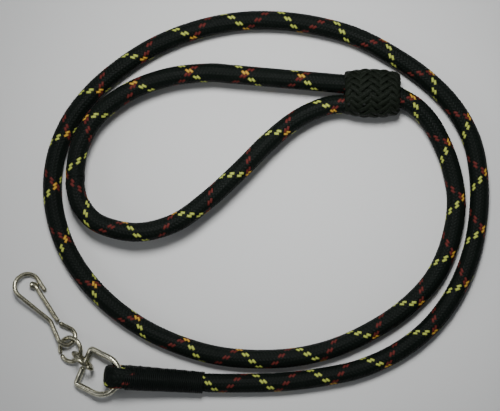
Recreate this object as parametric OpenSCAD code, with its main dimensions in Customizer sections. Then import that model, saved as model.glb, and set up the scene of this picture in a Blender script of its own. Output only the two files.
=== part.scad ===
// Whistle lanyard: one length of braided kernmantle cord with a woven sliding knot that
// forms an adjustable loop, and a D ring, two rings and a wire snap hook on its whipped end.
// Origin: centre of the footprint, on the surface that the lanyard lies on. +X runs along
// the longer side of the laid-out lanyard, +Z is up.

/* [Cord] */
// Diameter of the braided cord
cord_d = 8; // [7.8:0.1:8.1]
// Wall of the braided sheath around the core yarns
sheath_t = 1.1; // [0.8:0.1:1.6]

/* [Whipped end] */
// Length of the twine whipping
whip_len = 33; // [26:1:35]
// Thickness of the whipping twine
twine_t = 0.5; // [0.3:0.1:0.6]
// Width of the flattened cord fold that holds the D ring
eye_w = 9; // [8:0.5:9.5]

/* [Woven slider knot] */
// Length of the knot along the cord
knot_len = 23.4; // [21:0.2:24]
// Width of the knot at its middle, across both cords
knot_w = 20.6; // [20:0.2:22]
// Height of the knot at its middle
knot_h = 14; // [13:0.2:15]
// Gap between the running cord and the knot's bore
knot_gap = 0.4; // [0.3:0.05:0.6]

/* [D ring] */
// Wire diameter of the D ring
d_wire = 2.5; // [2:0.1:2.6]
// Radius of the ring's round side, to the middle of the wire
d_bend = 8.1; // [7.8:0.1:8.4]
// Length of the straight arms between the round side and the bar
d_arm = 8.3; // [7.5:0.1:9]

/* [Rings] */
// Wire diameter of the two small rings
ring_wire = 1.8; // [1.4:0.1:1.9]
// Radius of the small rings, to the middle of the wire
ring_bend = 5; // [4.9:0.1:5.2]
// Angle left open at the cut of each small ring
ring_cut = 3; // [1:1:6]

/* [Snap hook] */
// Wire diameter of the snap hook
hook_wire = 1.8; // [1.4:0.1:1.9]
// Radius of the hook's round nose, to the middle of the wire
nose_bend = 5.4; // [5:0.1:5.6]
// Distance from the eye to the middle of the nose
nose_reach = 27; // [25:0.5:28]

/* [Hidden] */
$fn = 48;

cord_r = cord_d / 2;
core_r = cord_r - sheath_t;
tube_sides = 10;

// The running cord passes straight through the knot, 5 degrees off the X axis.
slide_turn = -5;
slide_mouth = [48, 50, 7];
straight_len = 56;
slide_dir = [cos(slide_turn), sin(slide_turn), 0];

// Route of the running cord, from the D ring's eye, two turns round, to the knot.
outer_turn = [
    [-48.2, -71, 9.2], [-34.5, -72.1, 7], [-20, -73.2, 4.6],
    [-4, -73.5, 4], [13, -73, 4], [29.5, -71, 4], [45.5, -67.5, 4], [61, -60.5, 4],
    [74, -50.5, 4], [84, -37.5, 4], [91, -22, 4], [94.5, -5.5, 4], [95, 11, 4],
    [92, 27.5, 4], [84, 42, 4], [72, 54, 4], [58, 63.5, 4], [43, 71, 4],
    [26.5, 75.5, 4], [10, 77.5, 4], [-6.5, 77, 4], [-23, 73.5, 4], [-38.5, 67.5, 4],
    [-52.5, 59, 4], [-65.5, 48, 4], [-75.5, 35, 4], [-81.5, 19.5, 4], [-82.5, 3, 4]
];
inner_turn = [
    [-78.5, -13.5, 4], [-70.5, -28, 4], [-59, -40.5, 4], [-45, -50.5, 4],
    [-30, -57.5, 4], [-14, -62, 4], [2.5, -63.5, 4], [19.5, -62.5, 4], [35.5, -58.5, 4],
    [50.5, -51.5, 4], [64, -42.5, 4], [75.5, -30.5, 4], [82.5, -16, 4], [85.5, 1, 4],
    [83, 17, 4.2], [76.5, 32, 5], [69.5, 40.5, 6], [61.5, 45.5, 7], [55, 48.6, 7]
];
loop_top = [
    [-18, 55.5, 7], [-34.5, 53.5, 7.5], [-50.5, 47.5, 8], [-63.5, 37.5, 8.5],
    [-70.3, 26, 9], [-72.4, 16, 9.3], [-72.4, 12.2, 9.5]
];
// Route of the loop's other side, from the far end of the loop back to the knot.
loop_return = [
    [-72.4, 11.8, 9.5], [-72.4, 8, 9.7], [-70, 0.5, 10.1], [-62.5, -7, 10.5], [-47, -10.5, 11],
    [-31, -6.5, 11], [-17, 3.5, 10.5], [-4.5, 15, 9.5], [7, 26.5, 8.5],
    [18, 35.5, 7.5], [29, 41, 7]
];

function on_slide(s) = slide_mouth - s * slide_dir;
function beside_slide(s, gap) = on_slide(s) + gap * [slide_dir.y, -slide_dir.x, 0];

running_route = concat(
    outer_turn, inner_turn,
    [for (s = [0 : straight_len / 4 : straight_len]) on_slide(s)],
    loop_top
);

// The knot and the cord end that is fixed in it.
knot_centre = [50, 47, 7];
knot_turn = -1;
bore_r = cord_r + knot_gap;
mouth_r = cord_r + 0.9;
mouth_turn = 13;
end_gap = cord_d + 0.4;
end_mouth = beside_slide(9.6, end_gap);
end_stop = beside_slide(-1.5, end_gap);
stitch_d = 0.9;
stitch_spread = 3.2;
stitch_low = 0.6;
stitch_len = 12.8;

// The whipped end: its own frame has X along the cord and the D ring's pivot over the origin.
end_place = [-54.5, -70.5, 0];
end_turn = -4.5;
pivot_z = 7.2;
eye_r = 6.7;
eye_hole_r = 3;
neck_len = 6;
whip_start = 2.2;
sleeve_ends = [
    // distance from the pivot, height of the middle, half height, half width
    [0, 7.2, 7.1, 5.3], [0.32, 6.4, 6.3, 5.1], [0.68, 5.2, 5.1, 4.9], [1, 4.7, 4.6, 4.6]
];

// Rest positions of the D ring, the rings and the hook.
d_tilt = 13;
d_yaw = -19.5;
bar_ring_place = [-69.8, -64, 5.9];
bar_ring_turn = -41;
bar_ring_cut_at = 60;
hook_ring_place = [-75.4, -59.6, 2.95];
hook_ring_turn = 8;
hook_ring_tilt = 24;
hook_ring_cut_at = 200;
hook_place = [-76.8, -55, 3.1];
hook_turn = 127.2;
hook_roll = 25.8;
hook_dip = -0.5;

// Corners of the hook's wire and the bend at each, in its own plane: X towards the nose,
// Y towards its long leg.
gate_heel = [7.2, -1.4];
gate_neck = [25.4, -2.9];
gate_tip = [27.6, -1.4];
gate_bend = 1.5;
gate_gap = 0.8;
hook_path = [
    gate_heel, [-2.6, -6.4], [-2.6, 4.3], [10, 1.1],
    [nose_reach + nose_bend, nose_bend + 1.45], [nose_reach + nose_bend, -nose_bend - 0.4],
    [21, -4.9]
];
hook_bends = [0, 3.4, 3.4, 4, nose_bend - 0.4, nose_bend - 0.4, 0];

// ---- sweeping a tube along a route ----

function unit(v) = v / norm(v);
function along(route, i) =
    unit(route[min(i + 1, len(route) - 1)] - route[max(i - 1, 0)]);
function ring_at(centre, forward, r, sides) =
    let (side = unit(cross([0, 0, 1], forward)), up = cross(forward, side))
    [for (k = [0 : sides - 1])
        let (a = 360 * (k + 0.5) / sides) centre + r * (cos(a) * side + sin(a) * up)];
function skin(rings, sides, flip) =
    [for (i = [0 : rings - 2], k = [0 : sides - 1])
        let (n = (k + 1) % sides, a = i * sides, b = a + sides)
        for (t = [[a + k, a + n, b + k], [a + n, b + n, b + k]])
            flip ? [t[2], t[1], t[0]] : t];

module rod(route, r, sides) {
    rings = len(route);
    last = (rings - 1) * sides;
    points = [for (i = [0 : rings - 1]) each ring_at(route[i], along(route, i), r, sides)];
    start_cap = [for (k = [0 : sides - 1]) k];
    end_cap = [for (k = [sides - 1 : -1 : 0]) last + k];
    polyhedron(points, concat(skin(rings, sides, true), [start_cap, end_cap]));
}

module cord_sleeve(route, outer, inner) {
    rings = len(route);
    count = rings * tube_sides;
    last = count - tube_sides;
    points = [for (r = [outer, inner], i = [0 : rings - 1])
        each ring_at(route[i], along(route, i), r, tube_sides)];
    inside = [for (f = skin(rings, tube_sides, false)) [for (v = f) v + count]];
    rims = [for (k = [0 : tube_sides - 1])
        let (n = (k + 1) % tube_sides)
        each [
            [k, n, count + n], [k, count + n, count + k],
            [last + n, last + k, count + last + k],
            [last + n, count + last + k, count + last + n]
        ]];
    polyhedron(points, concat(skin(rings, tube_sides, true), inside, rims));
}

// ---- bent wire ----

module wire_run(a, b, d) {
    span = b - a;
    translate([a.x, a.y, 0])
        rotate([0, 90, heading(span)])
            cylinder(d = d, h = norm(span));
}

module wire_elbow(at, d) {
    translate([at.x, at.y, 0]) sphere(d = d);
}

module wire_bend(centre, bend, from, sweep, d) {
    translate([centre.x, centre.y, 0])
        rotate([0, 0, from])
            rotate_extrude(angle = sweep)
                translate([bend, 0]) circle(d = d);
}

// Middle line of a wire in a plane, straight between its corners and bent round each of them.
function heading(v) = atan2(v.y, v.x);
function turn_between(a, b) =
    let (t = heading(b) - heading(a)) t > 180 ? t - 360 : t < -180 ? t + 360 : t;
function corner_arc(before, at, after, bend) =
    let (
        back = unit(at - before),
        turn = turn_between(at - before, after - at),
        start = at - bend * tan(abs(turn) / 2) * back,
        middle = start + bend * sign(turn) * [-back.y, back.x],
        steps = max(2, ceil(abs(turn) / 15))
    )
    [for (i = [0 : steps])
        let (a = heading(start - middle) + turn * i / steps)
        middle + bend * [cos(a), sin(a)]];
function bent_line(path, bends) =
    let (last = len(path) - 1)
    concat(
        [path[0]],
        [for (i = [1 : last - 1]) each corner_arc(path[i - 1], path[i], path[i + 1], bends[i])],
        [path[last]]
    );

module bent_wire(path, bends, d) {
    rod([for (p = bent_line(path, bends)) [p.x, p.y, 0]], d / 2, 12);
}

// ---- frames of the moving pieces ----

module at_end() {
    translate(end_place) rotate([0, 0, end_turn]) children();
}

module at_d_ring() {
    at_end()
        translate([0, 0, pivot_z])
            rotate([0, -d_tilt, 0])
                translate([-d_bend, 0, 0])
                    rotate([0, 0, d_yaw]) children();
}

module at_hook() {
    translate(hook_place)
        rotate([0, 0, hook_turn])
            rotate([hook_roll, hook_dip, 0]) children();
}

// ---- the cord ----

module cord_sheath() {
    color([0.10, 0.14, 0.11]) cord_sleeve(running_route, cord_r, core_r);
}

module cord_core() {
    color([0.86, 0.85, 0.80]) rod(running_route, core_r, tube_sides);
}

module loop_sheath() {
    color([0.11, 0.15, 0.12])
        cord_sleeve(concat(loop_return, [end_mouth]), cord_r, core_r);
}

module loop_core() {
    color([0.86, 0.85, 0.80]) rod(concat(loop_return, [end_mouth]), core_r, tube_sides);
}

module loop_end_sheath() {
    color([0.12, 0.16, 0.13]) cord_sleeve([end_mouth, end_stop], cord_r, core_r);
}

module loop_end_core() {
    color([0.88, 0.87, 0.82]) rod([end_mouth, end_stop], core_r, tube_sides);
}

// ---- the whipped end ----

module cord_eye() {
    color([0.13, 0.17, 0.13])
        at_end()
            difference() {
                union() {
                    translate([0, 0, pivot_z])
                        rotate([90, 0, 0])
                            cylinder(r = eye_r, h = eye_w, center = true);
                    translate([0, -eye_w / 2, pivot_z - eye_r])
                        cube([neck_len, eye_w, 2 * eye_r]);
                }
                translate([0, 0, pivot_z])
                    rotate([90, 0, 0])
                        cylinder(r = eye_hole_r, h = 2 * eye_w, center = true);
            }
}

// The end of the cord is thinned to a flat tail that lies under the cord, in the whipping.
module whipping_tail() {
    tail_w = 4;
    tail_top = 4.9;
    color([0.15, 0.18, 0.14])
        at_end()
            rotate([90, 0, 0])
                translate([0, 0, -tail_w / 2])
                    linear_extrude(tail_w)
                        polygon([
                            [neck_len, 0.7], [whip_len, 0.7], [whip_len, 1],
                            [20, 2.5], [neck_len, tail_top]
                        ]);
}

module sleeve_skin(shrink, stretch) {
    sides = 16;
    rings = len(sleeve_ends);
    points = [for (e = sleeve_ends, k = [0 : sides - 1])
        let (a = 360 * (k + 0.5) / sides)
        [
            whip_start - stretch + e[0] * (whip_len + 2 * stretch),
            (e[3] - shrink) * cos(a),
            e[1] + (e[2] - shrink) * sin(a)
        ]];
    last = (rings - 1) * sides;
    polyhedron(points, concat(
        skin(rings, sides, true),
        [[for (k = [0 : sides - 1]) k], [for (k = [sides - 1 : -1 : 0]) last + k]]
    ));
}

module end_whipping() {
    color([0.09, 0.11, 0.10])
        at_end()
            difference() {
                sleeve_skin(0, 0);
                sleeve_skin(twine_t, 1);
            }
}

// ---- the woven knot ----

module knot_barrel() {
    plan_r = 42;
    intersection() {
        rotate([90, 0, 90])
            linear_extrude(knot_len, center = true) {
                square([knot_w - knot_h, knot_h], center = true);
                for (s = [-1, 1])
                    translate([s * (knot_w - knot_h) / 2, 0]) circle(d = knot_h);
            }
        linear_extrude(2 * knot_h, center = true)
            intersection_for(s = [-1, 1])
                translate([0, s * (plan_r - knot_w / 2)]) circle(r = plan_r, $fn = 180);
    }
}

module knot_lace() {
    color([0.08, 0.11, 0.09])
        difference() {
            translate(knot_centre) rotate([0, 0, knot_turn]) knot_barrel();
            // straight bore that the running cord slides in
            translate(slide_mouth)
                rotate([0, 90, slide_turn])
                    cylinder(r = bore_r, h = 2 * knot_len, center = true);
            // wider mouth, turned with the cord where it bends as it leaves the knot
            translate(slide_mouth)
                rotate([0, 90, slide_turn - mouth_turn])
                    cylinder(r = mouth_r, h = knot_len);
            // blind bore that holds the end of the cord
            translate(end_mouth - 10 * slide_dir)
                rotate([0, 90, slide_turn])
                    cylinder(r = cord_r, h = norm(end_stop - end_mouth) + 10);
            stitch_pins();
        }
}

module stitch_pins() {
    for (s = [-1, 1])
        translate([
            (end_mouth + end_stop).x / 2 + s * stitch_spread,
            (end_mouth + end_stop).y / 2, stitch_low
        ])
            cylinder(d = stitch_d, h = stitch_len, $fn = 16);
}

module knot_stitches() {
    color([0.05, 0.07, 0.06]) stitch_pins();
}

// ---- the metal pieces ----

module d_ring() {
    color([0.72, 0.71, 0.66])
        at_d_ring()
            union() {
                wire_bend([0, 0], d_bend, -90, 180, d_wire);
                for (s = [-1, 1]) {
                    wire_run([-d_arm, s * d_bend], [0, s * d_bend], d_wire);
                    wire_elbow([-d_arm, s * d_bend], d_wire);
                }
                wire_run([-d_arm, -d_bend], [-d_arm, d_bend], d_wire);
            }
}

module small_ring() {
    rotate_extrude(angle = 360 - ring_cut)
        translate([ring_bend, 0]) circle(d = ring_wire);
}

module bar_ring() {
    color([0.66, 0.65, 0.60])
        translate(bar_ring_place)
            rotate([90, 0, bar_ring_turn])
                rotate([0, 0, bar_ring_cut_at]) small_ring();
}

module hook_ring() {
    color([0.62, 0.61, 0.56])
        translate(hook_ring_place)
            rotate([0, 0, hook_ring_turn])
                rotate([0, -hook_ring_tilt, 0])
                    rotate([0, 0, hook_ring_cut_at]) small_ring();
}

module hook_wire_frame() {
    color([0.70, 0.69, 0.64])
        at_hook() bent_wire(hook_path, hook_bends, hook_wire);
}

module hook_gate() {
    start = gate_heel + gate_gap * unit(gate_neck - gate_heel);
    color([0.78, 0.77, 0.70])
        at_hook() bent_wire([start, gate_neck, gate_tip], [0, gate_bend, 0], hook_wire);
}

cord_sheath();
cord_core();
loop_sheath();
loop_core();
loop_end_sheath();
loop_end_core();
cord_eye();
end_whipping();
whipping_tail();
knot_lace();
knot_stitches();
d_ring();
bar_ring();
hook_ring();
hook_wire_frame();
hook_gate();
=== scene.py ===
import bpy
import math
import numpy as np
from mathutils import Matrix, Vector


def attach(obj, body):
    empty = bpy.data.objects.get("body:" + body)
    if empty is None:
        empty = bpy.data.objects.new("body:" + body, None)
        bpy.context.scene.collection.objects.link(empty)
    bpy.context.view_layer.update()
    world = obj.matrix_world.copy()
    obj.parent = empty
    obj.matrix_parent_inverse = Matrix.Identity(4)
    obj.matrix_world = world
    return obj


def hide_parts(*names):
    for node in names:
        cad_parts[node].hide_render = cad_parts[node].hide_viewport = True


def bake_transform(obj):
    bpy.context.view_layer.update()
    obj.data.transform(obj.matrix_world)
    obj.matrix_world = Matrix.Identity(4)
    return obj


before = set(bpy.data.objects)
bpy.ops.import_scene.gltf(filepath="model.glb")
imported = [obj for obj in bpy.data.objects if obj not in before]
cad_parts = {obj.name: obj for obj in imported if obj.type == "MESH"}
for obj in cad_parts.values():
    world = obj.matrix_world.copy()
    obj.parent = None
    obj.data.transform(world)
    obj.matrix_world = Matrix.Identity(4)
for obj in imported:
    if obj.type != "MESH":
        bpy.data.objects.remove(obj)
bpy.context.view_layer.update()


# ---- Table top, light and camera ----
# The lanyard lies on a plain pale table. A broad lamp stands above it and a little beyond it,
# so each cord has a soft shadow on its near side. The camera looks straight down.

def select_only(obj):
    bpy.ops.object.select_all(action="DESELECT")
    obj.select_set(True)
    bpy.context.view_layer.objects.active = obj


def new_material(name):
    material = bpy.data.materials.new(name)
    material.use_nodes = True
    tree = material.node_tree
    tree.nodes.clear()
    return material, Sock(tree)


class Sock:
    """A shader socket, or a bare node tree, that Python's own arithmetic works on."""

    def __init__(self, tree, out=None):
        self.tree = tree
        self.out = out

    def add(self, kind, output=0, settings=None, **inputs):
        made = self.tree.nodes.new(kind)
        for key, value in (settings or {}).items():
            if key == "stops":
                ramp = made.color_ramp
                while len(ramp.elements) < len(value):
                    ramp.elements.new(0.5)
                for element, (place, colour) in zip(ramp.elements, value):
                    element.position, element.color = place, colour
            else:
                setattr(made, key, value)
        for key, value in inputs.items():
            name = key.replace("_", " ")
            socket = made.inputs[int(key[1:])] if key[1:].isdigit() else made.inputs[name]
            if isinstance(value, Sock):
                self.tree.links.new(value.out, socket)
            else:
                socket.default_value = value
        return Sock(self.tree, made.outputs[output] if made.outputs else None)

    def twin(self, name):
        """Another output of the same node."""
        return Sock(self.tree, self.out.node.outputs[name])

    def math(self, operation, *values):
        inputs = {f"i{n}": value for n, value in enumerate(values)}
        return self.add("ShaderNodeMath", settings={"operation": operation}, **inputs)

    def __add__(self, other):
        return self.math("ADD", self, other)

    def __radd__(self, other):
        return self.math("ADD", other, self)

    def __sub__(self, other):
        return self.math("SUBTRACT", self, other)

    def __rsub__(self, other):
        return self.math("SUBTRACT", other, self)

    def __mul__(self, other):
        return self.math("MULTIPLY", self, other)

    def __rmul__(self, other):
        return self.math("MULTIPLY", other, self)

    def __lt__(self, other):
        return self.math("LESS_THAN", self, other)

    def __mod__(self, other):
        return self.math("FLOORED_MODULO", self, other)

    def mix(self, other, factor):
        return tinted(self, factor, self, other)


def tinted(tree, factor, below, above):
    """One colour that goes over to another as the factor goes from 0 to 1."""
    return tree.add("ShaderNodeMix", output=2, settings={"data_type": "RGBA"},
                    i0=factor, i6=below, i7=above)


def finish_material(tree, surface):
    tree.add("ShaderNodeOutputMaterial", Surface=surface)


table_paint, tree = new_material("table_top")
place = tree.add("ShaderNodeTexCoord", output="Object")
mottle = tree.add("ShaderNodeTexNoise", Vector=place, Scale=9.0, Detail=3.0)
paint = tinted(tree, mottle, (0.60, 0.605, 0.60, 1), (0.64, 0.645, 0.64, 1))
finish_material(tree, tree.add("ShaderNodeBsdfPrincipled", Base_Color=paint, Roughness=0.6))

bpy.ops.object.select_all(action="DESELECT")
bpy.ops.mesh.primitive_plane_add(size=4, location=(0, 0, 0))
table_top = bpy.context.object
table_top.name = "table_top"
table_top.data.materials.append(table_paint)

world = bpy.data.worlds.new("room")
bpy.context.scene.world = world
world.use_nodes = True
world.node_tree.nodes.clear()
tree = Sock(world.node_tree)
height = tree.add("ShaderNodeSeparateXYZ", output="Z",
                  Vector=tree.add("ShaderNodeTexCoord", output="Generated"))
walls = tree.add("ShaderNodeValToRGB", Fac=height, settings={"stops": [
    (0.0, (0.25, 0.26, 0.27, 1)),
    (0.45, (0.21, 0.22, 0.23, 1)),
    (0.85, (0.045, 0.048, 0.052, 1)),
]})
tree.add("ShaderNodeOutputWorld", Surface=tree.add("ShaderNodeBackground", Color=walls))

aim = Vector((0.02, 0.01, 0))
lights = (
    ("lamp", (-0.02, 0.19, 0.44), 0.15, 0.34, 58),
    ("window", (-0.75, -0.15, 0.7), 0.5, 1.0, 180),
)
for name, spot, width, power, spread in lights:
    bpy.ops.object.light_add(type="AREA", location=spot)
    light = bpy.context.object
    light.name = name
    light.data.shape = "DISK"
    light.data.size = width
    light.data.energy = power
    light.data.spread = math.radians(spread)
    light.rotation_euler = (aim - Vector(spot)).to_track_quat("-Z", "Y").to_euler()

SENSOR = 36
FIELD_WIDTH, FIELD_DISTANCE = 0.2083, 0.55
bpy.ops.object.camera_add(location=(-0.0004, 0.0005, 0.554), rotation=(0, 0, 0))
camera = bpy.context.object
camera.data.sensor_width = SENSOR
camera.data.lens = SENSOR * FIELD_DISTANCE / FIELD_WIDTH
bpy.context.scene.camera = camera


# ---- Running cord ----
# Kernmantle rope of 8 mm: a sheath of 32 yarns, 16 each way round, two over and two under,
# on a core of loose yarns. Two yarns side by side are yellow one way, and two are dark red
# the other way. It runs from the D ring, twice round, and slides through the knot.

MM = 0.001
CORD_R = 4 * MM
LAY = 23.1 * MM
CARRIERS = 16
BRAID_RELIEF = 0.34 * MM
PRESSED = 0.86
PRESSED_TO, ROUND_FROM = 27 * MM, 31 * MM
ROUTE_STEP = 0.435 * MM
CORD_SIDES = 48

outer_turn = [
    (-48.2, -71, 9.2), (-34.5, -72.1, 7), (-20, -73.2, 4.6),
    (-4, -73.5, 4), (13, -73, 4), (29.5, -71, 4), (45.5, -67.5, 4), (61, -60.5, 4),
    (74, -50.5, 4), (84, -37.5, 4), (91, -22, 4), (94.5, -5.5, 4), (95, 11, 4),
    (92, 27.5, 4), (84, 42, 4), (72, 54, 4), (58, 63.5, 4), (43, 71, 4),
    (26.5, 75.5, 4), (10, 77.5, 4), (-6.5, 77, 4), (-23, 73.5, 4), (-38.5, 67.5, 4),
    (-52.5, 59, 4), (-65.5, 48, 4), (-75.5, 35, 4), (-81.5, 19.5, 4), (-82.5, 3, 4),
]
inner_turn = [
    (-78.5, -13.5, 4), (-70.5, -28, 4), (-59, -40.5, 4), (-45, -50.5, 4),
    (-30, -57.5, 4), (-14, -62, 4), (2.5, -63.5, 4), (19.5, -62.5, 4), (35.5, -58.5, 4),
    (50.5, -51.5, 4), (64, -42.5, 4), (75.5, -30.5, 4), (82.5, -16, 4), (85.5, 1, 4),
    (83, 17, 4.2), (76.5, 32, 5), (69.5, 40.5, 6), (61.5, 45.5, 7), (55, 48.6, 7),
]
slide_dir = np.array([math.cos(math.radians(-5)), math.sin(math.radians(-5)), 0])
slide_mouth = np.array([48, 50, 7])
straight = [tuple(slide_mouth - s * slide_dir) for s in (0, 14, 28, 42, 56)]
loop_top = [
    (-18, 55.5, 7), (-34.5, 53.5, 7.5), (-50.5, 47.5, 8), (-63.5, 37.5, 8.5),
    (-70.3, 26, 9), (-72.4, 16, 9.3), (-72.4, 12, 9.5),
]
loop_return = [
    (-72.4, 8, 9.7), (-70, 0.5, 10.1), (-62.5, -7, 10.5), (-47, -10.5, 11),
    (-31, -6.5, 11), (-17, 3.5, 10.5), (-4.5, 15, 9.5), (7, 26.5, 8.5),
    (18, 35.5, 7.5), (29, 41, 7),
]
# How far the braid has turned round the cord's own axis, in turns, at every step along it:
# laying the cord in a coil twists it.
braid_turn = [-0.03, -0.11, -0.165, -0.13, -0.02, 0.1, 0.165, 0.16, 0.04, -0.13, -0.15,
              -0.15, -0.25, -0.1, 0.06, -0.16, -0.1]
braid_step = 65 * MM
braid_start = 30 * MM


def smooth_line(points, step):
    """Points every step along the smooth curve through the given ones, and their distances."""
    p = np.array(points, float)
    p = np.vstack([2 * p[0] - p[1], p, 2 * p[-1] - p[-2]])
    t = np.linspace(0, 1, 40, endpoint=False)[:, None]
    fine = []
    for a, b, c, d in zip(p[:-3], p[1:-2], p[2:-1], p[3:]):
        ka, kb = (c - a) / 2, (d - b) / 2
        fine.append((2 * t**3 - 3 * t**2 + 1) * b + (t**3 - 2 * t**2 + t) * ka
                    + (3 * t**2 - 2 * t**3) * c + (t**3 - t**2) * kb)
    fine = np.vstack(fine + [p[-2:-1]])
    run = np.r_[0, np.cumsum(np.linalg.norm(np.diff(fine, axis=0), axis=1))]
    at = np.linspace(0, run[-1], int(round(run[-1] / step)) + 1)
    return np.stack([np.interp(at, run, fine[:, k]) for k in range(3)], 1), at


def section_axes(line, side=None):
    """The side and upward directions across the line. The side is level unless it is given."""
    along = np.gradient(line, axis=0)
    along /= np.linalg.norm(along, axis=1)[:, None]
    side = np.cross([0, 0, 1], along) if side is None else np.zeros_like(line) + side
    side -= (side * along).sum(1)[:, None] * along
    side /= np.linalg.norm(side, axis=1)[:, None]
    return side, np.cross(along, side)


def braid_height(turn, lay, carriers):
    """Height of the yarn on top, 0 to 1, at a turn round the cord and a number of lays along."""
    s, z = carriers * (lay - turn), carriers * (lay + turn)
    cell = (np.floor(z) - np.floor(s)) % 4
    s_on_top = cell < 2
    across = np.where(s_on_top, s % 1, z % 1)
    through = np.where(s_on_top, (cell + z % 1) / 2, ((3 - cell) + s % 1) / 2)
    return np.sqrt(np.sin(np.pi * across) * np.sin(np.pi * np.clip(through, 0, 1)))


def tube(name, line, radii_at, sides, uv_at, side=None):
    """A closed tube along line. radii_at gives each point's distances out, uv_at its map."""
    side, up = section_axes(line, side)
    angle = np.arange(sides) * 2 * np.pi / sides
    wide, high = radii_at(angle)
    co = line[:, None] + wide[..., None] * side[:, None] + high[..., None] * up[:, None]
    rings = len(line)
    i, k = np.meshgrid(np.arange(rings - 1), np.arange(sides), indexing="ij")
    a, b = i * sides + k, i * sides + (k + 1) % sides
    quads = np.stack([a, b, b + sides, a + sides], -1).reshape(-1, 4)
    faces = quads.tolist()
    faces.append(list(range(sides))[::-1])
    faces.append(list(range((rings - 1) * sides, rings * sides)))
    mesh = bpy.data.meshes.new(name)
    mesh.from_pydata(co.reshape(-1, 3).tolist(), [], faces)
    u = np.stack([k, k + 1, k + 1, k], -1).reshape(-1) / sides
    v = uv_at(np.stack([i, i, i + 1, i + 1], -1).reshape(-1))
    caps = np.zeros((2 * sides, 2))
    layer = mesh.uv_layers.new(name="UVMap")
    layer.data.foreach_set("uv", np.vstack([np.stack([u, v], 1), caps]).astype(np.float32).ravel())
    smooth = np.ones(len(faces), bool)
    smooth[-2:] = False
    mesh.polygons.foreach_set("use_smooth", smooth)
    mesh.update()
    obj = bpy.data.objects.new(name, mesh)
    bpy.context.scene.collection.objects.link(obj)
    return obj


whole_route = np.array(outer_turn + inner_turn + straight + loop_top) * MM
beside_slide = np.array([slide_dir[1], -slide_dir[0], 0])
end_mouth = slide_mouth - 9.6 * slide_dir + 8.4 * beside_slide
end_stop = end_mouth + 11.1 * slide_dir
loop_points = np.array(loop_return + [tuple(end_mouth), tuple(end_stop)]) * MM

whole_line, whole_at = smooth_line(np.vstack([whole_route, loop_points]), ROUTE_STEP)
seam = int(np.argmin(np.linalg.norm(whole_line - whole_route[-1], axis=1)))


def turn_at(at):
    return np.interp(at, braid_start + braid_step * np.arange(len(braid_turn)), braid_turn)


def cord_tube(name, first, last):
    """The stretch of braided cord between two points of the whole line."""
    at = whole_at[first:last]
    turn = turn_at(at)[:, None]
    lay = (at / LAY)[:, None]

    def radii(angle):
        round_cord = angle[None] / (2 * np.pi) - turn
        # the whipping presses the first stretch thinner
        pressed = np.interp(at, [0, PRESSED_TO, ROUND_FROM], [PRESSED, PRESSED, 1])[:, None]
        r = CORD_R * pressed - BRAID_RELIEF * (1 - braid_height(round_cord, lay, CARRIERS))
        return r * np.cos(angle), r * np.sin(angle)

    def uv(rows):
        return at[rows] / LAY

    obj = tube(name, whole_line[first:last], radii, CORD_SIDES, uv)
    turned = obj.data.uv_layers["UVMap"]
    co = np.zeros(len(turned.data) * 2, np.float32)
    turned.data.foreach_get("uv", co)
    co = co.reshape(-1, 2)
    co[:, 0] -= np.interp(co[:, 1] * LAY, at, turn[:, 0])
    turned.data.foreach_set("uv", co.ravel())
    return obj


def braid_paint(name, carriers, low, high, flecked):
    """A braid's yarns, drawn on the map: turns round the cord across, lays of braid along."""
    material, tree = new_material(name)
    spot = tree.add("ShaderNodeTexCoord", output="UV")
    turn = tree.add("ShaderNodeSeparateXYZ", Vector=spot)
    lay = turn.twin("Y")
    s, z = (lay - turn) * carriers, (lay + turn) * carriers
    s_yarn, z_yarn = s.math("FLOOR", s), z.math("FLOOR", z)
    cell = (z_yarn - s_yarn) % 4
    s_on_top = cell < 2
    across = s.math("FRACT", s) * s_on_top + z.math("FRACT", z) * (1 - s_on_top)
    through_s = (cell + z.math("FRACT", z)) * 0.5
    through_z = (3 - cell + s.math("FRACT", s)) * 0.5
    through = through_s * s_on_top + through_z * (1 - s_on_top)
    # the yarn on top arches across its width and dips where it goes under
    arch = across.math("SINE", across * math.pi) * through.math("SINE", through * math.pi)
    height = arch.math("SQRT", arch.math("MAXIMUM", arch, 0.0))

    # fibres lie along each yarn, so they run across it in fine lines
    fibres = tree.add("ShaderNodeTexNoise", settings={"noise_dimensions": "2D"},
                      Vector=tree.add("ShaderNodeCombineXYZ", X=across * 9 + s_yarn * 3.7,
                                      Y=through * 1.6 + z_yarn * 5.1), Scale=1.0, Detail=2.0)
    wear = tree.add("ShaderNodeTexNoise", Vector=tree.add("ShaderNodeTexCoord", output="Object"),
                    Scale=160.0, Detail=4.0)
    colour = tinted(tree, fibres * 0.55 + wear * 0.45, low, high)
    if flecked:
        yellow = tinted(tree, fibres, (0.30, 0.35, 0.04, 1), (0.54, 0.60, 0.14, 1))
        red = tinted(tree, fibres, (0.060, 0.009, 0.008, 1), (0.17, 0.030, 0.024, 1))
        orange = tinted(tree, fibres, (0.42, 0.17, 0.015, 1), (0.72, 0.36, 0.04, 1))
        yellow_yarn = (s_yarn % carriers < 1.5) * s_on_top
        red_yarn = (z_yarn % carriers < 1.5) * (1 - s_on_top)
        over_red = ((z_yarn + 1) % carriers < 3.5) * yellow_yarn
        colour = colour.mix(red, red_yarn).mix(yellow, yellow_yarn).mix(orange, over_red * 0.8)
    # painted shade: the colour darkens towards near black in the grooves between yarns and where a
    # yarn dips under another
    shade = height * 0.75 + 0.25
    shaded = colour.mix((0.0008, 0.0012, 0.0010, 1), 1 - shade)
    bump = tree.add("ShaderNodeBump", Strength=0.55, Distance=0.25 * MM,
                    Height=height + fibres * 0.25)
    finish_material(tree, tree.add("ShaderNodeBsdfPrincipled", Base_Color=shaded,
                                   Roughness=wear * 0.2 + 0.45, Normal=bump, Sheen_Weight=0.008,
                                   Sheen_Roughness=0.4, Specular_IOR_Level=0.09))
    return material


braided_sheath = braid_paint("braided_sheath", CARRIERS, (0.0015, 0.0027, 0.0020, 1),
                             (0.0060, 0.0105, 0.0074, 1), flecked=True)

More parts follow.
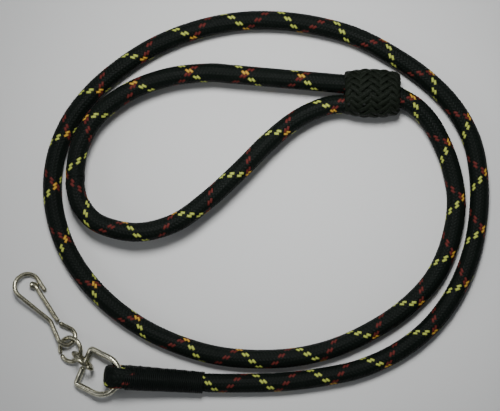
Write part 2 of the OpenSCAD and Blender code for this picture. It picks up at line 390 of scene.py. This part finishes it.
running_cord = cord_tube("running_cord_sheath", 0, seam + 1)
running_cord.data.materials.append(braided_sheath)
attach(running_cord, "cord")
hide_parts("cord_sheath")


# The core is a bundle of loose white yarns that fills the sheath.

CORE_R, CORE_LOBE = 2.45 * MM, 0.35 * MM


def yarn_paint():
    material, tree = new_material("core_yarn")
    spot = tree.add("ShaderNodeTexCoord", output="UV")
    turn = tree.add("ShaderNodeSeparateXYZ", Vector=spot)
    lay = turn.twin("Y")
    strands = turn.math("SINE", (turn * 9 + lay * 4) * (2 * math.pi))
    fuzz = tree.add("ShaderNodeTexNoise", Vector=spot, Scale=60.0, Detail=3.0)
    white = tinted(tree, strands * 0.3 + fuzz * 0.7, (0.55, 0.53, 0.47, 1), (0.84, 0.82, 0.76, 1))
    bump = tree.add("ShaderNodeBump", Strength=0.5, Distance=0.2 * MM, Height=strands + fuzz)
    finish_material(tree, tree.add("ShaderNodeBsdfPrincipled", Base_Color=white, Roughness=0.9,
                                   Normal=bump))
    return material


core_yarn = yarn_paint()


def core_tube(name, first, last):
    """The bundle of yarns inside that stretch of the cord, with seven lobes that wind round it."""
    line, at = whole_line[first:last:3], whole_at[first:last:3]

    def radii(angle):
        lobes = np.abs(np.sin(3.5 * (angle[None] + at[:, None] / LAY * 2.2)))
        r = CORE_R + CORE_LOBE * lobes
        return r * np.cos(angle), r * np.sin(angle)

    obj = tube(name, line, radii, 28, lambda rows: at[rows] / LAY)
    obj.data.materials.append(core_yarn)
    return obj


running_core = core_tube("running_cord_core", 0, seam + 1)
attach(running_core, "cord")
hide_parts("cord_core")


# ---- Loop side of the cord ----
# The same rope goes on round the far end of the loop and back to the knot, where its end is
# sewn fast. This stretch is a piece of its own.

loop_cord = cord_tube("loop_cord_sheath", seam, len(whole_line))
loop_cord.data.materials.append(braided_sheath)
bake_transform(loop_cord)
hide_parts("loop_sheath", "loop_end_sheath")

loop_core = core_tube("loop_cord_core", seam, len(whole_line))
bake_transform(loop_core)
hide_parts("loop_core", "loop_end_core")


# ---- Folded end of the cord ----
# The cord's end is pressed flat, folded back round the D ring, thinned to a tail and laid
# under the cord, so that the whipping holds it.

end_frame = Matrix.Translation((-54.5 * MM, -70.5 * MM, 0)) @ Matrix.Rotation(
    math.radians(-4.5), 4, "Z")


def placed(frame_matrix, points):
    """Points given in a piece's own frame, in millimetres, as points of the whole lanyard."""
    m = np.array(frame_matrix)
    return np.array(points, float) * MM @ m[:3, :3].T + m[:3, 3]


FOLD_Z, FOLD_R = 7.2, 4.85
FOLD_LAY = 0.65
FOLD_RELIEF = 0.075
FLATNESS = 0.75
fold_arc = [(FOLD_R * math.cos(a), 0, FOLD_Z + FOLD_R * math.sin(a))
            for a in np.radians(np.linspace(100, 262, 10))]
fold_route = ([(7, 0, 9.1), (3.4, 0, 10.9)] + fold_arc
              + [(4, 0, 2.3), (8, 0, 2.7), (14, 0, 2.2), (22, 0, 1.6), (32, 0, 0.9)])
fold_line, fold_at = smooth_line(placed(end_frame, fold_route), 0.3 * MM)
fold_marks = np.array([0, 6, 10, 24, 30, 38, 50, 62]) * MM
half_wide_at = np.array([3.9, 4.2, 4.5, 4.5, 4.0, 3.1, 2.2, 1.4]) * MM
half_high_at = np.array([3.7, 2.6, 1.8, 1.8, 1.7, 1.3, 0.7, 0.3]) * MM
fold_wide = np.interp(fold_at, fold_marks, half_wide_at)
fold_high = np.interp(fold_at, fold_marks, half_high_at)


def fold_section(angle):
    c, s = np.cos(angle)[None], np.sin(angle)[None]
    weave = braid_height(angle[None] / (2 * np.pi), fold_at[:, None] / LAY + FOLD_LAY, CARRIERS)
    relief = 1 - FOLD_RELIEF * (1 - weave)
    return (fold_wide[:, None] * np.sign(c) * np.abs(c) ** FLATNESS * relief,
            fold_high[:, None] * np.sign(s) * np.abs(s) ** FLATNESS * relief)


end_side = np.array(end_frame.to_3x3() @ Vector((0, 1, 0)))
cord_fold = tube("folded_cord_end", fold_line, fold_section, CORD_SIDES,
                 lambda rows: fold_at[rows] / LAY + FOLD_LAY, side=-end_side)
cord_fold.data.materials.append(braided_sheath)
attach(cord_fold, "cord")
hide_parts("cord_eye", "whipping_tail")


# ---- Whipping ----
# One length of dark waxed twine, wound tightly turn beside turn over the fold and the tail,
# from the D ring outwards. A few turns ride up where the tail steps down under them.

TWINE_D = 0.86 * MM
WHIP_START, WHIP_LEN = 2.65, 32.1
TURNS = 40
TURN_STEPS = 40
# share of the length, height of the middle, half height, half width
whip_shape = np.array([[0, 7.2, 7.05, 5.25], [0.32, 6.4, 6.25, 5.05],
                       [0.68, 5.2, 5.05, 4.85], [1, 4.7, 4.55, 4.55]])
round_end = np.arange(TURNS * TURN_STEPS + 1) / TURN_STEPS
share = round_end / TURNS
winding = round_end * 2 * np.pi
middle, half_high, half_wide = [np.interp(share, whip_shape[:, 0], whip_shape[:, k])
                                for k in (1, 2, 3)]
uneven = np.random.default_rng(7).normal(0, 0.05, TURNS + 2)
ride_up = np.interp(round_end, np.arange(TURNS + 2), uneven)
raised_turn = np.sin(np.pi * round_end / 4.6) ** 8
ride_up += 0.22 * raised_turn * np.clip(np.cos(winding - 0.4), 0, 1) ** 2
inset = TWINE_D / MM / 2
twine_line = placed(end_frame, np.stack([
    WHIP_START + share * WHIP_LEN,
    (half_wide - inset + ride_up) * np.cos(winding),
    middle + (half_high - inset) * np.sin(winding)], 1))


def twine_paint():
    material, tree = new_material("whipping_twine")
    spot = tree.add("ShaderNodeTexCoord", output="UV")
    turn = tree.add("ShaderNodeSeparateXYZ", Vector=spot)
    along = turn.twin("Y")
    ply = turn.math("SINE", (turn * 3 + along) * (2 * math.pi))
    grime = tree.add("ShaderNodeTexNoise", Vector=tree.add("ShaderNodeTexCoord", output="Object"),
                     Scale=240.0, Detail=4.0)
    colour = tinted(tree, ply * 0.25 + grime * 0.75, (0.0018, 0.0028, 0.0024, 1),
                    (0.0080, 0.0115, 0.0095, 1))
    bump = tree.add("ShaderNodeBump", Strength=0.6, Distance=0.12 * MM,
                    Height=ply * 0.5 + grime * 0.6)
    finish_material(tree, tree.add("ShaderNodeBsdfPrincipled", Base_Color=colour,
                                   Roughness=grime * 0.2 + 0.5, Normal=bump,
                                   Specular_IOR_Level=0.1))
    return material


def round_section(r):
    return lambda angle: (r * np.cos(angle)[None], r * np.sin(angle)[None])


whipping_twine = twine_paint()
whipping = tube("whipping_twine_turns", twine_line, round_section(TWINE_D / 2), 8,
                lambda rows: round_end[rows] * 14,
                side=np.array(end_frame.to_3x3() @ Vector((1, 0, 0))))
whipping.data.materials.append(whipping_twine)
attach(whipping, "cord")
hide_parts("end_whipping")


# ---- Woven slider knot ----
# A barrel of dark green lace, plaited two over and two under round both sides of the loop on
# a hard core. The cord's end is sewn into it, and the running side slides through its bore.

knot_frame = Matrix.Translation((50 * MM, 47 * MM, 7 * MM)) @ Matrix.Rotation(
    math.radians(-1), 4, "Z")
KNOT_LEN, HALF_W, HALF_H, PLAN_R, RIM = 23.4, 10.3, 7.0, 42.0, 2.2
CORNERS = 0.82
LACES = 16
LACE_TURN = 0.40
LACE_DEPTH, LACE_LIFT = 0.95, 0.42
LACE_WIDE, LACE_THICK = 1.16 * MM, 0.52 * MM
BORE_R = 4.4 * MM


def barrel(share_along, turn, depth):
    """A point of the barrel: 0 to 1 along its outline, turns round it, and depth below it."""
    flat = KNOT_LEN / 2 - RIM
    bend = RIM * np.pi / 2
    run = (np.asarray(share_along, float) - 0.5) * 2 * (flat + bend)
    over = np.clip(np.abs(run) - flat, 0, bend) / RIM
    x = np.sign(run) * (np.minimum(np.abs(run), flat) + (RIM - depth) * np.sin(over))
    in_by = PLAN_R - np.sqrt(PLAN_R**2 - np.minimum(np.abs(run), flat) ** 2)
    in_by = in_by + RIM - (RIM - depth) * np.cos(over)
    a = np.asarray(turn, float) * 2 * np.pi
    even = a + 0.16 * np.sin(2 * a)
    c, s = np.cos(even), np.sin(even)
    y = (HALF_W - in_by) * np.sign(c) * np.abs(c) ** CORNERS
    z = (HALF_H - in_by * 0.8) * np.sign(s) * np.abs(s) ** CORNERS
    return np.stack(np.broadcast_arrays(x, y, z), -1)


lace_paint = braid_paint("knot_lace", 6, (0.0024, 0.0037, 0.0023, 1),
                         (0.0130, 0.0190, 0.0110, 1), flecked=False)


def lace_section(angle):
    return LACE_WIDE * np.cos(angle)[None], LACE_THICK * np.sin(angle)[None]


lace_pieces = []
steps = np.linspace(0, 1, 62)
for way in (1, -1):
    for n in range(LACES):
        # a lace goes over two and under two of those that cross it
        crossing = 2 * LACES * LACE_TURN * (steps - 0.5)
        first_over = 0.5 if way > 0 else 2.5
        lift = LACE_LIFT * np.cos(2 * np.pi * (crossing - first_over) / 4)
        turn = (n + 0.5) / LACES + way * LACE_TURN * (steps - 0.5)
        middle_line = placed(knot_frame, barrel(steps, turn, LACE_DEPTH - lift))
        outward = placed(knot_frame, barrel(steps, turn, 0.2 - lift)) - middle_line
        # the laces part round the mouths of the bore that the cord slides in
        away = middle_line - slide_mouth * MM
        away -= (away @ slide_dir)[:, None] * slide_dir
        clear = BORE_R / np.linalg.norm(away, axis=1)
        middle_line = middle_line + away * (np.maximum(clear, 1) - 1)[:, None]
        direction = np.gradient(middle_line, axis=0)
        lace = tube("lace", middle_line, lace_section, 10, lambda rows: steps[rows] * 6.5,
                    side=np.cross(outward, direction))
        lace_pieces.append(lace)
select_only(lace_pieces[0])
for lace in lace_pieces:
    lace.select_set(True)
bpy.ops.object.join()
knot_weave = bpy.context.object
knot_weave.name = "knot_lace_weave"
knot_weave.data.materials.append(lace_paint)
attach(knot_weave, "slider")

ROWS, SIDES = 40, 64
ring_turns = np.arange(SIDES) / SIDES
core_rings = [placed(knot_frame, barrel(r, ring_turns, 1.35))
              for r in np.linspace(0.02, 0.98, ROWS)]
core_faces = []
for i in range(0, (ROWS - 1) * SIDES, SIDES):
    for k in range(SIDES):
        n = (k + 1) % SIDES
        core_faces.append([i + k, i + SIDES + k, i + SIDES + n, i + n])
core_faces += [list(range(SIDES)), list(range((ROWS - 1) * SIDES, ROWS * SIDES))[::-1]]
core_mesh = bpy.data.meshes.new("knot_core")
core_mesh.from_pydata(np.vstack(core_rings).tolist(), [], core_faces)
knot_core = bpy.data.objects.new("knot_core", core_mesh)
bpy.context.scene.collection.objects.link(knot_core)
select_only(knot_core)
bpy.ops.object.mode_set(mode="EDIT")
bpy.ops.mesh.select_all(action="SELECT")
bpy.ops.mesh.normals_make_consistent(inside=False)
bpy.ops.object.mode_set(mode="OBJECT")
running_bore = (Vector(slide_mouth) * MM, BORE_R, 60 * MM)
end_bore = (Vector((end_mouth + end_stop) / 2 - 6 * slide_dir) * MM, CORD_R, 24 * MM)
for centre, radius, depth in (running_bore, end_bore):
    bpy.ops.object.select_all(action="DESELECT")
    bpy.ops.mesh.primitive_cylinder_add(vertices=SIDES, radius=radius, depth=depth, location=centre,
                                        rotation=(0, math.pi / 2, math.radians(-5)))
    drill = bpy.context.object
    bore = knot_core.modifiers.new("bore", "BOOLEAN")
    bore.object, bore.operation, bore.solver = drill, "DIFFERENCE", "EXACT"
    select_only(knot_core)
    bpy.ops.object.modifier_apply(modifier="bore")
    bpy.data.objects.remove(drill)
knot_core.data.materials.clear()
knot_core.data.materials.append(lace_paint)
select_only(knot_core)
bpy.ops.object.shade_smooth_by_angle(angle=math.radians(40))
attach(knot_core, "slider")
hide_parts("knot_lace")

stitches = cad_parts["knot_stitches"]
stitches.data.materials.clear()
stitches.data.materials.append(whipping_twine)


# ---- D ring ----
# Nickel-plated steel wire, 2.5 mm, bent to a D with a butt joint in the middle of its straight
# bar. Its round side turns in the fold of the cord.

def bent(corners, radii, step=6):
    """The middle line of a wire in a plane, bent round each corner, as (x, y, 0) points. There
    is a point every step degrees of a bend."""
    p = [Vector((x, y)) for x, y in corners]
    line = [p[0]]
    for before, at, after, r in zip(p[:-2], p[1:-1], p[2:], radii):
        a, b = (at - before).normalized(), (after - at).normalized()
        turn = a.angle_signed(b)
        reach = r * math.tan(abs(turn) / 2)
        count = max(3, round(abs(math.degrees(turn)) / step))
        centre = at - a * reach + Vector((-a.y, a.x)) * r * (-1 if turn > 0 else 1)
        arm = at - a * reach - centre
        for n in range(count + 1):
            line.append(centre + Matrix.Rotation(-turn * n / count, 2) @ arm)
    line.append(p[-1])
    return [(q.x, q.y, 0) for q in line]


def wire(name, frame_matrix, line, d, sides=20, flat_tip=0):
    """A round wire along a line in its frame's own plane, its ends rounded off. A flat tip of
    that length is hammered wider across the plane and thinner."""
    points = placed(frame_matrix, line)
    run = np.r_[0, np.cumsum(np.linalg.norm(np.diff(points, axis=0), axis=1))]
    r = d * MM / 2
    ends = r * (1 - np.cos(np.radians([0, 25, 50, 75, 90])))
    inner = np.linspace(r, run[-1] - r, max(4, int((run[-1] - 2 * r) / (0.35 * MM))))
    at = np.concatenate([ends[:-1], inner, run[-1] - ends[:-1][::-1]])
    line_at = np.stack([np.interp(at, run, points[:, k]) for k in range(3)], 1)
    from_end = np.minimum(at, run[-1] - at)
    swell = np.sqrt(np.clip(1 - (1 - np.clip(from_end / r, 0.02, 1)) ** 2, 0.01, 1)) * r
    normal = np.array(frame_matrix.to_3x3() @ Vector((0, 0, 1)))
    flat = np.clip((at - run[-1] + flat_tip * MM) / (0.6 * MM), 0, 1) * (flat_tip > 0)
    obj = tube(name, line_at,
               lambda angle: ((swell * (1 - 0.15 * flat))[:, None] * np.cos(angle),
                              (swell * (1 + 0.55 * flat))[:, None] * np.sin(angle)),
               sides, lambda rows: at[rows] / (10 * MM), side=normal)
    obj.data.polygons.foreach_set("use_smooth", np.ones(len(obj.data.polygons), bool))
    return obj


def plated_paint(name, bright, dull, rough, spot_scale):
    """Nickel plate: bright, with dull patches, fine draw lines along the wire and small pits."""
    material, tree = new_material(name)
    place = tree.add("ShaderNodeTexCoord", output="Object")
    drawn = tree.add("ShaderNodeTexCoord", output="UV")
    patches = tree.add("ShaderNodeTexNoise", Vector=place, Scale=spot_scale, Detail=5.0,
                       Roughness=0.6)
    worn = tree.add("ShaderNodeValToRGB", settings={"stops": [(0.38, (0, 0, 0, 1)),
                                                              (0.66, (1, 1, 1, 1))]},
                    Fac=patches)
    lines = tree.add("ShaderNodeTexNoise",
                     Vector=tree.add("ShaderNodeMapping", Vector=drawn, Scale=(40, 1.5, 1)),
                     Scale=2.0, Detail=3.0)
    pits = tree.add("ShaderNodeTexNoise", Vector=place, Scale=2400.0, Detail=2.0)
    bump = tree.add("ShaderNodeBump", Strength=0.12, Distance=0.03 * MM,
                    Height=lines * 0.6 + pits * 0.5)
    colour = tinted(tree, worn, dull, bright)
    finish_material(tree, tree.add("ShaderNodeBsdfPrincipled", Base_Color=colour, Metallic=1.0,
                                   Roughness=(1 - worn) * 0.16 + rough + lines * 0.06,
                                   Normal=bump))
    return material


d_frame = (end_frame @ Matrix.Translation((0, 0, 7.2 * MM))
           @ Matrix.Rotation(math.radians(-13), 4, "Y")
           @ Matrix.Translation((-8.1 * MM, 0, 0)) @ Matrix.Rotation(math.radians(-19.5), 4, "Z"))
d_line = bent([(-8.3, 0.03), (-8.3, 8.1), (8.1, 8.1), (8.1, -8.1), (-8.3, -8.1), (-8.3, -0.03)],
              [0.95, 8.05, 8.05, 0.95])
plated_d_ring = plated_paint("plated_d_ring", (0.74, 0.72, 0.58, 1), (0.34, 0.33, 0.25, 1), 0.11,
                             420.0)
d_ring = wire("d_ring_wire", d_frame, d_line, 2.5, 24)
d_ring.data.materials.append(plated_d_ring)
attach(d_ring, "d_ring")
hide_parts("d_ring")


# ---- Two small rings ----
# Jump rings of 1.8 mm plated wire, each bent round until its ends meet. One stands across the
# D ring's bar, and the other lies nearly flat between it and the hook.

plated_wire = plated_paint("plated_wire", (0.56, 0.54, 0.41, 1), (0.20, 0.19, 0.13, 1), 0.14,
                           520.0)
ring_line = [(5 * math.cos(a), 5 * math.sin(a), 0) for a in np.radians(np.linspace(0, 357, 120))]


def turned(axis, degrees):
    return Matrix.Rotation(math.radians(degrees), 4, axis)


bar_ring_frame = (Matrix.Translation((-69.8 * MM, -64 * MM, 5.9 * MM)) @ turned("Z", -41)
                  @ turned("X", 90) @ turned("Z", 60))
hook_ring_frame = (Matrix.Translation((-75.4 * MM, -59.6 * MM, 2.95 * MM)) @ turned("Z", 8)
                   @ turned("Y", -24) @ turned("Z", 200))
for body, ring_frame in (("bar_ring", bar_ring_frame), ("hook_ring", hook_ring_frame)):
    ring = wire(body + "_wire", ring_frame, ring_line, 1.8)
    ring.data.materials.append(plated_wire)
    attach(ring, body)
    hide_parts(body)


# ---- Snap hook ----
# One length of 1.8 mm spring wire, bent to an eye, a long leg and a round nose, with the other
# end springing against the nose as its gate. The gate's tip is cranked to catch the nose.

hook_frame = (Matrix.Translation((-76.8 * MM, -55 * MM, 3.1 * MM)) @ turned("Z", 127.2)
              @ turned("X", 25.8) @ turned("Y", -0.5))
hook_line = bent([(7.2, -1.4), (-2.6, -6.4), (-2.6, 4.3), (10, 1.1), (32.4, 6.85),
                  (32.4, -5.8), (21, -4.9)], [3.4, 3.4, 4, 5, 5])
hook = wire("hook_wire", hook_frame, hook_line, 1.8)
hook.data.materials.append(plated_wire)
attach(hook, "hook")
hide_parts("hook_wire_frame")

gate_line = bent([(7.6, -1.43), (25.4, -2.9), (27.6, -1.4)], [1.5])
gate = wire("hook_gate_wire", hook_frame, gate_line, 1.8, flat_tip=3.6)
gate.data.materials.append(plated_wire)
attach(gate, "gate")
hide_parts("hook_gate")
